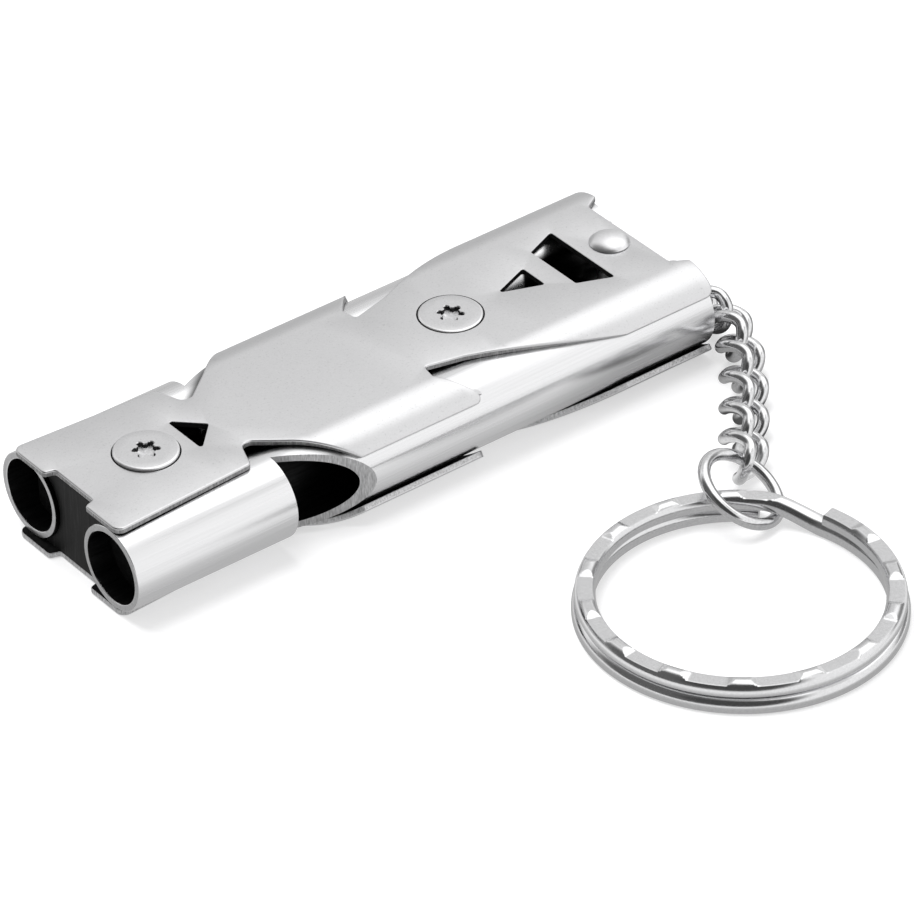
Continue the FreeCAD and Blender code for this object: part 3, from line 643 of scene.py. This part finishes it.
def make_plate(name, flip, edge):
    """A cover plate with rounded upper edges; flip makes the lower one."""
    verts, faces, mats = [], [], []
    top_loops, bottom_loops = [], []

    def strip(first, second, material):
        n = len(first)
        for k in range(n):
            q = (k + 1) % n
            faces.append((first[k], first[q], second[q], second[k]))
            mats.append(material)

    def add(points, height):
        base = len(verts)
        verts.extend(bend(x, s, height, flip) for x, s in points)
        return list(range(base, base + len(points)))

    for loop, hole in plate_loops():
        radius = HOLE_SOFT if hole else PLATE_SOFT
        arc = [math.pi / 2 * k / 4 for k in range(5)]
        flat = inset(loop, radius, hole)
        top = before = add(flat, SHEET)
        for turn in arc[1:]:
            row = inset(loop, radius * (1 - math.sin(turn)), hole)
            after = add(row, SHEET - radius * (1 - math.cos(turn)))
            strip(before, after, 0)
            before = after
        lower = add(loop, CHAMFER)
        narrow = inset(loop, CHAMFER, hole)
        under = add(narrow, 0.0)
        # the cut-outs' walls take the near-black painted shade
        strip(before, lower, 2 if hole else 1)
        strip(lower, under, 2 if hole else 1)
        top_loops.append((flat, top))
        bottom_loops.append((narrow, under))
    # the screw holes are countersunk: wide at the top, narrower below
    for x in SCREWS_FROM_MOUTH:
        wide = circle(x, HEAD_R + SINK_WIDER)
        thin = circle(x, HEAD_R - SINK_NARROWER)
        top = add(wide, SHEET)
        under = add(thin, 0.0)
        # the countersinks' walls take the near-black painted shade
        strip(top, under, 2)
        top_loops.append((wide, top))
        bottom_loops.append((thin, under))

    # fill each face with triangles, with extra points where the wings bend
    grid = wing_points()
    for height, groups in ((SHEET, top_loops), (0.0, bottom_loops)):
        points, edges, index = [], [], []
        for loop, ids in groups:
            base = len(points)
            n = len(loop)
            points.extend(Vector((float(p[0]), float(p[1]))) for p in loop)
            index.extend(ids)
            edges.extend((base + k, base + (k + 1) % n) for k in range(n))
        rings = [np.array(loop) for loop, _ in groups]
        points.extend(Vector(p) for p in grid if in_loop(p, rings[0], 0.12))
        new_points, _, new_faces, origin = geometry.delaunay_2d_cdt(points, edges, [], 0,
                                                                    1e-6)[:4]
        mapped = []
        for k, p in enumerate(new_points):
            source = [o for o in origin[k] if o < len(index)]
            if source:
                mapped.append(index[source[0]])
            else:
                mapped.append(len(verts))
                verts.append(bend(p[0], p[1], height, flip))
        for f in new_faces:
            middle = sum((new_points[k] for k in f), Vector((0, 0))) / len(f)
            if in_loop(middle, rings[0]) and not any(in_loop(middle, r) for r in rings[1:]):
                faces.append(tuple(mapped[k] for k in f))
                # the inner face takes the near-black painted shade
                mats.append(0 if height > 0 else 2)
    mesh_piece(name + "_fine", verts, faces, "whistle", [name],
               [plate_mat, edge, inside_shade_and_plug_mat], 28, mats)


def in_loop(p, loop, margin=0.0):
    """Whether a point lies inside a loop, and no nearer its edge than margin."""
    x, y = p[0], p[1]
    a, b = loop, np.roll(loop, -1, 0)
    cross = (a[:, 1] > y) != (b[:, 1] > y)
    with np.errstate(divide="ignore", invalid="ignore"):
        at = a[:, 0] + (y - a[:, 1]) / (b[:, 1] - a[:, 1]) * (b[:, 0] - a[:, 0])
    odd = int(np.count_nonzero(cross & (at > x))) % 2 == 1
    if not odd or margin == 0.0:
        return odd
    e = b - a
    t = np.clip(((x - a[:, 0]) * e[:, 0] + (y - a[:, 1]) * e[:, 1]) /
                np.maximum((e * e).sum(1), 1e-12), 0, 1)
    d = np.hypot(a[:, 0] + t * e[:, 0] - x, a[:, 1] + t * e[:, 1] - y)
    return d.min() > margin


make_plate("top_plate", False, edge_mat)
make_plate("bottom_plate", True, lower_edge_lit_mat)


# Screws and pin.
def torx_radius(a, core=0.79, lobe=0.27, circle_r=0.9):
    """Distance from the axis to the recess's wall at angle a."""
    near = (a + math.pi / 6) % (math.pi / 3) - math.pi / 6
    reach = circle_r * math.cos(near)
    off = circle_r * math.sin(near)
    if abs(off) < lobe:
        return max(core, reach + math.sqrt(lobe * lobe - off * off))
    return core


def make_screw(name, x, proud, turn, lower):
    """A countersunk screw; proud is its height over the sheet, turn its recess's angle."""
    around = 144
    shank, cone_end, shank_end = 1.45, -1.4 - proud, -4.2 - proud
    rows = []
    # recess floor, wall and rim, then out over the head and down its side: size is
    # a ring's radius, or a share of the recess's outline
    stations = [("ring", 0.2, -0.5), ("ring", 0.7, -0.48), ("torx", 0.97, -0.44),
                ("torx", 1.0, -0.08), ("torx", 1.06, 0.0), ("mix", 0.5, 0.0),
                ("ring", HEAD_R - 0.19, 0.0), ("ring", HEAD_R - 0.1, -0.02),
                ("ring", HEAD_R - 0.03, -0.07), ("ring", HEAD_R, -0.16),
                ("ring", HEAD_R, -0.2 - proud), ("ring", shank, cone_end),
                ("ring", shank, shank_end)]
    for kind, size, h in stations:
        row = []
        for k in range(around):
            a = 2 * math.pi * k / around
            t = torx_radius(a - math.radians(turn))
            r = t * size if kind == "torx" else size
            if kind == "mix":
                r = (t * 1.06 + HEAD_R - 0.12) * size
            y, z = r * math.sin(a), h + proud
            if lower:
                row.append((x + r * math.cos(a), -y, -z))
            else:
                row.append((x + r * math.cos(a), y, TOP_Z + z))
        rows.append(row)
    verts, faces = sweep(np.array(rows), closed=False)
    slots = []
    # how many rows of faces in turn have each material, then the two ends
    # the recess floor and rims carry a painted highlight, the recess wall and the part below
    # the sheet painted shade
    for count, slot in ((2, 1), (1, 3), (1, 4), (2, 0), (3, 4), (1, 0), (2, 2)):
        slots += [slot] * (around * count)
    mesh_piece(name + "_fine", verts, faces, "whistle", [name],
               [screw_mat, recess_floor_lit_mat, inside_shade_and_plug_mat, recess_wall_shade_mat, rim_highlight_mat],
               30, slots + [1, 2])


make_screw("top_front_screw", SCREWS[0], 0.28, 28.5, False)
make_screw("top_rear_screw", SCREWS[1], 0.12, 14.0, False)
make_screw("bottom_front_screw", SCREWS[0], 0.0, 0.0, True)
make_screw("bottom_rear_screw", SCREWS[1], 0.0, 20.0, True)


def make_pin():
    """The chain's pin: a shaft between the plates and a low dome on the upper one."""
    base, rise, shaft, steep = 1.78, 0.9, PIN_R, math.radians(16)
    foot = TOP_Z + 0.07 - rise * math.sin(steep)
    profile = [(0.001, 0.0), (shaft - 0.08, 0.0), (shaft, 0.08), (shaft, TOP_Z + SEAT),
               (base - 0.06, TOP_Z + SEAT)]
    for k in range(25):
        a = steep + (math.pi / 2 - steep) * k / 24
        profile.append((max(base * math.cos(a) / math.cos(steep), 0.001),
                        foot + rise * math.sin(a)))
    verts, faces = lathe(profile, PIN_X)
    mesh_piece("chain_pin_fine", verts, faces, "whistle", ["chain_pin"],
               [pin_mat], 40)


make_pin()

# Chain and jump ring: lengths in millimetres, each link's heading, roll and height.
WIRE = 1.05
PITCH = 4.45
GAP = 0.1
HALF = (PITCH + WIRE + GAP) / 2
HALF_WIDTH = 1.8
HEADINGS = (2, -66, -86, -116, -126, -130, -131, -129)
ROLLS = (0, 3, 6, 9, 10, 10, 10, 12)
HEIGHTS = (3.05, 3.0, 2.9, 2.75, 2.55, 2.4, 2.35, 2.35, 2.65)
TWIST = math.radians(96)


def link_path(count):
    """A curb link's closed path: a full oval, twisted along its length."""
    u = np.linspace(0, 2 * math.pi, count, endpoint=False)
    power = 2 / 2.5
    along = HALF * np.sign(np.cos(u)) * np.abs(np.cos(u)) ** power
    across = HALF_WIDTH * np.sign(np.sin(u)) * np.abs(np.sin(u)) ** power
    t = np.clip(along / HALF / 0.65, -1, 1)
    turn = TWIST / 2 * (1.5 * t - 0.5 * t ** 3)
    return np.c_[along, across * np.cos(turn), -across * np.sin(turn)]


def even_path(points, count):
    """The same closed path with its points evenly spaced."""
    loop = np.vstack([points, points[:1]])
    run = np.r_[0, np.cumsum(np.linalg.norm(np.diff(loop, axis=0), axis=1))]
    at = np.linspace(0, run[-1], count, endpoint=False)
    return np.c_[[np.interp(at, run, loop[:, k]) for k in range(3)]].T


def make_chain():
    """Eight links from the pin on. Gives the last one's far end, for the jump ring."""
    up = np.array([0, 0, 1.0])
    here = np.array([PIN_X, 0.0, HEIGHTS[0]])
    local = even_path(link_path(720), 96)
    for k in range(8):
        step = PITCH if k else 2 * HALF - (PIN_R + WIRE / 2 + GAP)
        rise = HEIGHTS[k + 1] - HEIGHTS[k]
        run = math.sqrt(step * step - rise * rise)
        a = math.radians(HEADINGS[k])
        way = np.array([run * math.cos(a), run * math.sin(a), rise]) / step
        here = here + way * step
        side = np.cross(way, up)
        side /= np.linalg.norm(side)
        top = np.cross(side, way)
        roll = math.radians(ROLLS[k]) + TWIST / 2
        second = side * math.cos(roll) + top * math.sin(roll)
        third = np.cross(way, second)
        path = here - HALF * way + local @ np.array([way, second, third])
        verts, faces = wire_loop(path, WIRE / 2)
        name = "chain_link_%d" % (k + 1)
        mesh_piece(name + "_fine", verts, faces, "link_%d" % (k + 1), [name],
                   [chain_mat if k else first_link_shade_mat], 60)
    return here


chain_end = make_chain()
JUMP_R, JUMP_W = 3.63, 0.53
heading, dip, lean = math.radians(-136.3), math.radians(-3.5), math.radians(32)
onward = np.array([math.cos(heading) * math.cos(dip), math.sin(heading) * math.cos(dip),
                   math.sin(dip)])
aside = np.cross(onward, (0, 0, 1.0))
aside /= np.linalg.norm(aside)
jump_normal = np.cross(aside, onward) * math.cos(lean) - aside * math.sin(lean)
jump_centre = chain_end + onward * (JUMP_R - WIRE / 2 - JUMP_W - GAP)


def make_jump_ring():
    """A round ring of wire in a leaning plane."""
    u = np.cross((0, 0, 1.0), jump_normal)
    u /= np.linalg.norm(u)
    w = np.cross(jump_normal, u)
    t = np.linspace(0, 2 * math.pi, 144, endpoint=False)[:, None]
    path = jump_centre + JUMP_R * (np.cos(t) * u + np.sin(t) * w)
    verts, faces = wire_loop(path, JUMP_W, 24)
    mesh_piece("jump_ring_fine", verts, faces, "jump", ["jump_ring"], [chain_mat], 60)


make_jump_ring()

# Split ring: two coils of strip, joined by a joggle, with flats pressed in its top.
SPLIT_W, SPLIT_T = 1.75, 1.34
LOW_R, HIGH_R = 12.75, 12.51
LOW_Z = SPLIT_T / 2
HIGH_Z = LOW_Z + SPLIT_T + 0.08
JOG_START, JOG_TURN, END_GAP = 16.0, 26.0, 0.8
SCALLOP_FIRST, SCALLOP_PITCH, SCALLOP_COUNT = 8.5, 25.16, 14
SCALLOP_HALF, SCALLOP_RAMP, SCALLOP_DEPTH = 1.5, 0.6, 0.27
CROWN = SPLIT_W / 2 * 0.97
EDGE = 0.33
LOW_CROWN = 0.72
SPLIT_REACH, SPLIT_HEADING = 13.23, math.radians(-130.55)
STRIP_STATIONS = 1400


def strip_station(angle):
    """Radius, height and crown radius of the strip along both coils."""
    # 0 on the lower coil, 1 on the upper one, and between them in the joggle
    f = min(max((angle - JOG_START) / JOG_TURN, 0.0), 1.0)
    b = f * f * (3 - 2 * f)
    return (LOW_R + (HIGH_R - LOW_R) * b, LOW_Z + (HIGH_Z - LOW_Z) * b,
            LOW_CROWN + (CROWN - LOW_CROWN) * b)


def scallop_top(angle):
    """The height of the pressed flats over the strip's middle at an angle."""
    top = math.inf
    for i in range(SCALLOP_COUNT):
        centre = SCALLOP_FIRST - SCALLOP_PITCH * i
        off = abs((angle - centre + 180) % 360 - 180) * math.pi / 180 * HIGH_R
        rise = max(off - SCALLOP_HALF, 0.0) / SCALLOP_RAMP * SCALLOP_DEPTH
        top = min(top, HIGH_Z + SPLIT_T / 2 - SCALLOP_DEPTH + rise)
    return top


def strip_outline(crown, steps=11):
    """Half widths and heights round the strip, from the lower outer corner."""
    hw, ht = SPLIT_W / 2, SPLIT_T / 2
    tall = crown * 1.12
    points = []
    for cx, cy, a0, wide, high in ((hw - EDGE, -ht + EDGE, -90, EDGE, EDGE),
                                   (hw - crown, ht - tall, 0, crown, tall),
                                   (-hw + crown, ht - tall, 90, crown, tall),
                                   (-hw + EDGE, -ht + EDGE, 180, EDGE, EDGE)):
        for k in range(steps):
            a = math.radians(a0 + 90 * k / (steps - 1))
            points.append((cx + wide * math.cos(a), cy + high * math.sin(a)))
    return np.array(points)


def make_split_ring():
    """The strip along both coils; the flats are pressed in the upper one."""
    centre = np.array([jump_centre[0] + SPLIT_REACH * math.cos(SPLIT_HEADING),
                       jump_centre[1] + SPLIT_REACH * math.sin(SPLIT_HEADING), 0.0])
    start = JOG_START + JOG_TURN + END_GAP - 360
    stop = JOG_START + 360 - END_GAP
    rings = []
    for angle in np.linspace(start, stop, STRIP_STATIONS):
        radius, z, crown = strip_station(angle)
        points = strip_outline(crown)
        if angle > JOG_START + JOG_TURN / 2:
            points[:, 1] = np.minimum(points[:, 1], scallop_top(angle) - z)
        a = math.radians(angle)
        rings.append([(centre[0] + (radius + w) * math.cos(a),
                       centre[1] + (radius + w) * math.sin(a), z + h) for w, h in points])
    verts, faces = sweep(np.array(rings), closed=False)
    mesh_piece("split_ring_fine", verts, faces, "key", ["split_ring"], [ring_mat], 22)


make_split_ring()

# CAD pieces that stay.
# the fipple plugs get the near-black painted-shade steel, the end plugs the tube skin with
# its painted shade
for node, material in (("mouth_spacer", spacer_mat), ("rear_spacer", spacer_mat),
                       ("left_fipple_plug", inside_shade_and_plug_mat), ("right_fipple_plug", inside_shade_and_plug_mat),
                       ("left_end_plug", tube_with_shade_mat), ("right_end_plug", tube_with_shade_mat)):
    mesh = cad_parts[node].data
    mesh.materials.clear()
    mesh.materials.append(material)

# Floor, world and lamp.
floor_mesh = bpy.data.meshes.new("floor")
far = 3.0
floor_mesh.from_pydata([(-far, -far, 0), (far, -far, 0), (far, far, 0), (-far, far, 0)], [],
                       [(0, 1, 2, 3)])
floor = bpy.data.objects.new("floor", floor_mesh)
bpy.context.scene.collection.objects.link(floor)
# a hair under the part, so that the two share no surface
floor.location.z = -0.00002
floor_shader = Shader("floor", 1.0, 0.0)
floor_shader.color(floor_shader.ramp(floor_shader.noise((0.3, 0.3, 0.3)),
                                     ((0.3, 0.61), (0.7, 0.63))))
floor_shader.main.inputs["Specular IOR Level"].default_value = 0.0
floor_mesh.materials.append(floor_shader.material)


def lit_path(tree):
    """1 for what the eye, a reflection or a see-through ray meets."""
    path = tree.nodes.new("ShaderNodeLightPath")
    found = path.outputs["Is Camera Ray"]
    for ray in ("Is Glossy Ray", "Is Transmission Ray"):
        either = tree.nodes.new("ShaderNodeMath")
        either.operation = "MAXIMUM"
        tree.links.new(found, either.inputs[0])
        tree.links.new(path.outputs[ray], either.inputs[1])
        found = either.outputs[0]
    return found


def make_floor_lift(strength):
    """A little light of its own keeps the floor white round the shadow."""
    glow = floor_shader.add("ShaderNodeEmission")
    both = floor_shader.add("ShaderNodeAddShader")
    level = floor_shader.math("MULTIPLY", lit_path(floor_shader.tree), strength)
    floor_shader.join(level, glow.inputs["Strength"])
    floor_shader.join(floor_shader.main.outputs[0], both.inputs[0])
    floor_shader.join(glow.outputs[0], both.inputs[1])
    return both.outputs[0]


def make_floor_mirror_side(seen):
    """What metal shows of the floor, with painted shade in it: white, greyer close to the
    whistle's right side, painted shadows by the chain and the ring, and an even grey on the
    left. All else meets what seen gives."""
    across = floor_shader.place("Y")

    def span(source, low, high, at_low, at_high):
        return floor_shader.span(source, low * MM, high * MM, at_low, at_high)

    def product(first, second):
        return floor_shader.math("MULTIPLY", first, second)

    def shadow_spot(x, y, inner, outer, dark):
        """A painted shadow round a point of the floor, under the chain and the ring."""
        reach = floor_shader.add("ShaderNodeVectorMath", operation="DISTANCE")
        reach.inputs[1].default_value = (x * MM, y * MM, 0)
        place = floor_shader.add("ShaderNodeTexCoord")
        floor_shader.join(place.outputs["Object"], reach.inputs[0])
        return span(reach.outputs["Value"], inner, outer, dark, 1.0)

    # painted shade: the reflected floor darkens toward the rear, by the chain and ring, and
    # close to the right side, and is an even grey on the left
    slant = floor_shader.math("MULTIPLY_ADD", floor_shader.place("X"), 1.2, across)
    chain_side = product(span(slant, -2.0, 20.0, 0.95, 0.62),
                         product(shadow_spot(33.0, -4.5, 4.5, 8.5, 0.1),
                                 shadow_spot(26.0, -20.5, 3.5, 6.5, 0.15)))
    ring_side = product(chain_side, shadow_spot(9.4, -38.0, 14.0, 20.0, 0.5))
    right_side = product(ring_side, span(across, -25.0, -9.0, 1.0, 0.52))
    level = floor_shader.add("ShaderNodeMix", data_type="FLOAT")
    floor_shader.join(span(across, 2.0, 9.0, 0.0, 1.0), level.inputs["Factor"])
    floor_shader.join(right_side, level.inputs["A"])
    level.inputs["B"].default_value = 0.6
    image = floor_shader.add("ShaderNodeEmission")
    floor_shader.join(level.outputs["Result"], image.inputs["Strength"])
    path = floor_shader.add("ShaderNodeLightPath")
    choice = floor_shader.add("ShaderNodeMixShader")
    floor_shader.join(path.outputs["Is Glossy Ray"], choice.inputs["Fac"])
    floor_shader.join(seen, choice.inputs[1])
    floor_shader.join(image.outputs[0], choice.inputs[2])
    surface = floor_shader.tree.nodes["Material Output"].inputs["Surface"]
    floor_shader.join(choice.outputs[0], surface)


make_floor_mirror_side(make_floor_lift(0.5))


def make_world():
    """A white studio: bright overhead, softer in the middle, and a dark side
    behind the viewer that gives the metal its shades."""
    world = bpy.data.worlds.new("studio")
    bpy.context.scene.world = world
    world.use_nodes = True
    tree = world.node_tree
    nodes, links = tree.nodes, tree.links
    sky = nodes["Background"]
    fill = nodes.new("ShaderNodeBackground")
    fill.inputs["Color"].default_value = (1, 1, 1, 1)
    fill.inputs["Strength"].default_value = 0.62
    way = nodes.new("ShaderNodeTexCoord")

    def toward(direction, near, full):
        """0 away from a direction, 1 close to it."""
        dot = nodes.new("ShaderNodeVectorMath")
        dot.operation = "DOT_PRODUCT"
        dot.inputs[1].default_value = Vector(direction).normalized()
        links.new(way.outputs["Generated"], dot.inputs[0])
        span = nodes.new("ShaderNodeMapRange")
        span.interpolation_type = "SMOOTHSTEP"
        span.inputs["From Min"].default_value = near
        span.inputs["From Max"].default_value = full
        links.new(dot.outputs["Value"], span.inputs["Value"])
        return span.outputs["Result"]

    def mix(base, level, amount):
        node = nodes.new("ShaderNodeMix")
        node.data_type = "RGBA"
        if isinstance(base, float):
            node.inputs["A"].default_value = (base, base, base, 1)
        else:
            links.new(base, node.inputs["A"])
        node.inputs["B"].default_value = (level, level, level, 1)
        links.new(amount, node.inputs["Factor"])
        return node.outputs["Result"]

    # each zone's level, direction, and the cosines where it begins and is full
    shade = 1.0
    for level, direction, near, full in (
            (0.72, (0.5, 0.75, 0.6), 0.8, 0.93),
            (1.45, (0.4, 0.0, 0.9), 0.78, 0.91),
            (0.7, (0.42, -0.42, 0.8), 0.975, 0.99),
            (0.55, (0.5, 0.86, 0.08), 0.9, 0.985),
            (0.3, (0.0, 1.0, 0.02), 0.88, 0.96),
            (0.25, (1.0, 0.1, 0.02), 0.88, 0.96),
            (0.12, (-0.78, 0.1, 0.5), 0.5, 0.84),
            (0.06, (-0.5, -0.62, 0.6), 0.74, 0.9)):
        shade = mix(shade, level, toward(direction, near, full))
    links.new(shade, sky.inputs["Color"])
    both = nodes.new("ShaderNodeMixShader")
    links.new(lit_path(tree), both.inputs["Fac"])
    links.new(fill.outputs[0], both.inputs[1])
    links.new(sky.outputs[0], both.inputs[2])
    links.new(both.outputs[0], nodes["World Output"].inputs["Surface"])


make_world()


def area_lamp(name, place, aim, size, power):
    """A lamp that lights matt things and isn't seen in metal."""
    data = bpy.data.lights.new(name, "AREA")
    data.shape = "RECTANGLE"
    data.size, data.size_y = size
    data.energy = power
    lamp = bpy.data.objects.new(name, data)
    bpy.context.scene.collection.objects.link(lamp)
    lamp.location = place
    way = Vector(aim) - Vector(place)
    lamp.rotation_euler = way.to_track_quat("-Z", "Y").to_euler()
    lamp.visible_glossy = False


area_lamp("overhead", (-0.05, 0.12, 0.5), (0, -0.02, 0), (0.35, 0.35), 2.2)

bpy.context.scene.view_settings.view_transform = "Standard"

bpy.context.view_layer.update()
